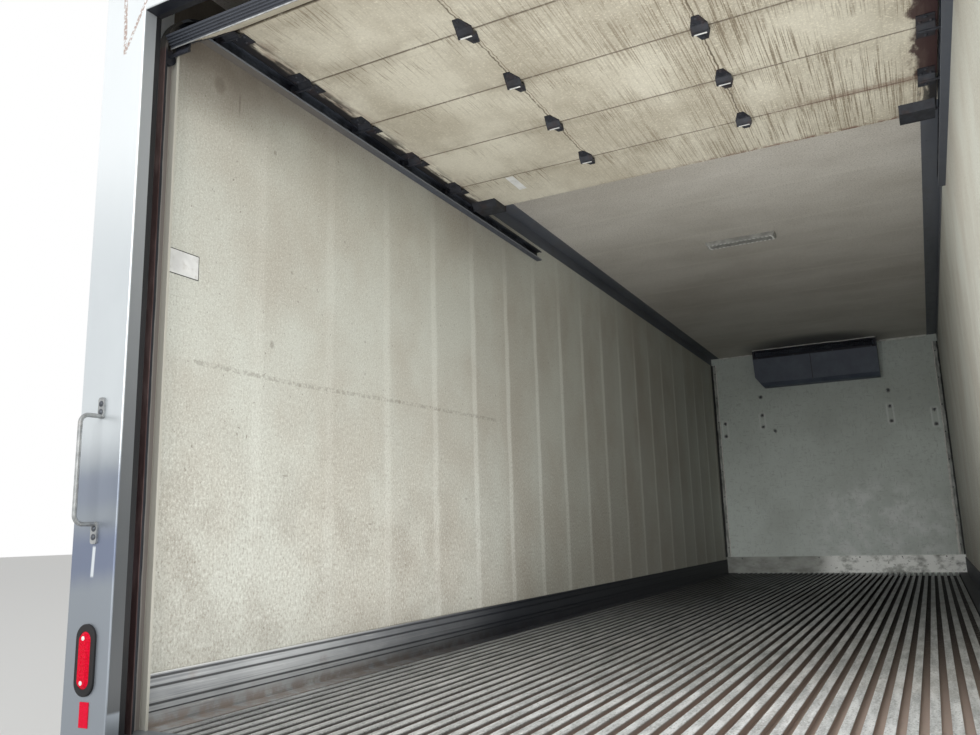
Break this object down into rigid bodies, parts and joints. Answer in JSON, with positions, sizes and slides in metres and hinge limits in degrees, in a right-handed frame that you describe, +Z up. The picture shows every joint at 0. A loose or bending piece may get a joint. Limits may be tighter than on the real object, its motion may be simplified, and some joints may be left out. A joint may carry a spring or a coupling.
{
  "type": "refrigerated truck body",
  "caption": "Insulated refrigerated cargo box for a truck, with an open sectional roll-up rear door, grooved floor and a condensing unit on its nose.",
  "frame": {"origin": "on the ground plane under the sills, at the middle of the overall length and width", "axes": "+X to the kerb side (right when looking forward), +Y forward towards the nose, +Z up"},
  "size_m": [2.59, 8.936, 2.877],
  "materials": {
    "liner": "satin",
    "panel": "gloss",
    "core": "matte",
    "deck": "satin",
    "rail": "satin",
    "stainless": "brushed",
    "steel": "satin",
    "galvanised": "satin",
    "seal": "matte",
    "door": "satin",
    "cove": "matte",
    "lens_red": "gloss",
    "lens_amber": "gloss",
    "lamp": "gloss",
    "evaporator": "satin",
    "unit": "gloss",
    "grille": "matte",
    "coil": "matte",
    "engine": "matte"
  },
  "bodies": {
    "body": {"floor_deck": "deck", "floor_core": "core", "wall_left": "panel", "wall_right": "panel", "wall_front": "panel", "roof": "panel", "top_rails": "rail", "bottom_rails": "rail", "corner_posts": "rail", "front_top_rail": "rail", "front_sill": "rail", "rear_posts": "stainless", "rear_header": "stainless", "rear_sill": "stainless", "dock_bumpers": "seal", "door_seals": "seal", "crossmembers": "steel", "longitudinal_sills": "steel", "door_tracks": "galvanised", "door_bottom_section": "door", "door_middle_sections": "door", "door_top_section": "door", "door_bottom_rail": "rail", "door_hinges": "galvanised", "door_end_hinges": "steel", "door_rollers": "galvanised", "door_lock": "galvanised", "counterbalance": "galvanised", "shaft_hangers": "galvanised", "door_stops": "steel", "scuff_liners": "deck", "kick_plate": "rail", "corner_trims": "liner", "ceiling_angles": "cove", "ceiling_light": "lamp", "evaporator": "evaporator", "unit_housing": "unit", "unit_grille": "grille", "fan_motors": "steel", "condenser_coil": "coil", "fan_shroud": "steel", "unit_engine": "engine", "hatch_hinges": "galvanised", "lamp_grommets": "seal", "tail_lamps": "lens_red", "markers_rear": "lens_red", "markers_front": "lens_amber", "grab_handles": "galvanised"},
    "fan_left": {"fan_left": "grille"},
    "fan_right": {"fan_right": "grille"},
    "hatch_left": {"hatch_left": "unit"},
    "hatch_right": {"hatch_right": "unit"}
  },
  "joints": [
    {"name": "fan_left_spin", "type": "hinge", "parent": "body", "child": "fan_left", "pos_m": [-0.4, 4.324, 2.322], "axis": [0, 1, 0], "continuous": true},
    {"name": "fan_right_spin", "type": "hinge", "parent": "body", "child": "fan_right", "pos_m": [0.4, 4.324, 2.322], "axis": [0, 1, 0], "continuous": true},
    {"name": "hatch_left_swing", "type": "hinge", "parent": "body", "child": "hatch_left", "pos_m": [-0.825, 4.457, 1.872], "axis": [0, 0, 1], "range_deg": [0, 110]},
    {"name": "hatch_right_swing", "type": "hinge", "parent": "body", "child": "hatch_right", "pos_m": [0.825, 4.457, 1.872], "axis": [0, 0, -1], "range_deg": [0, 110]}
  ]
}
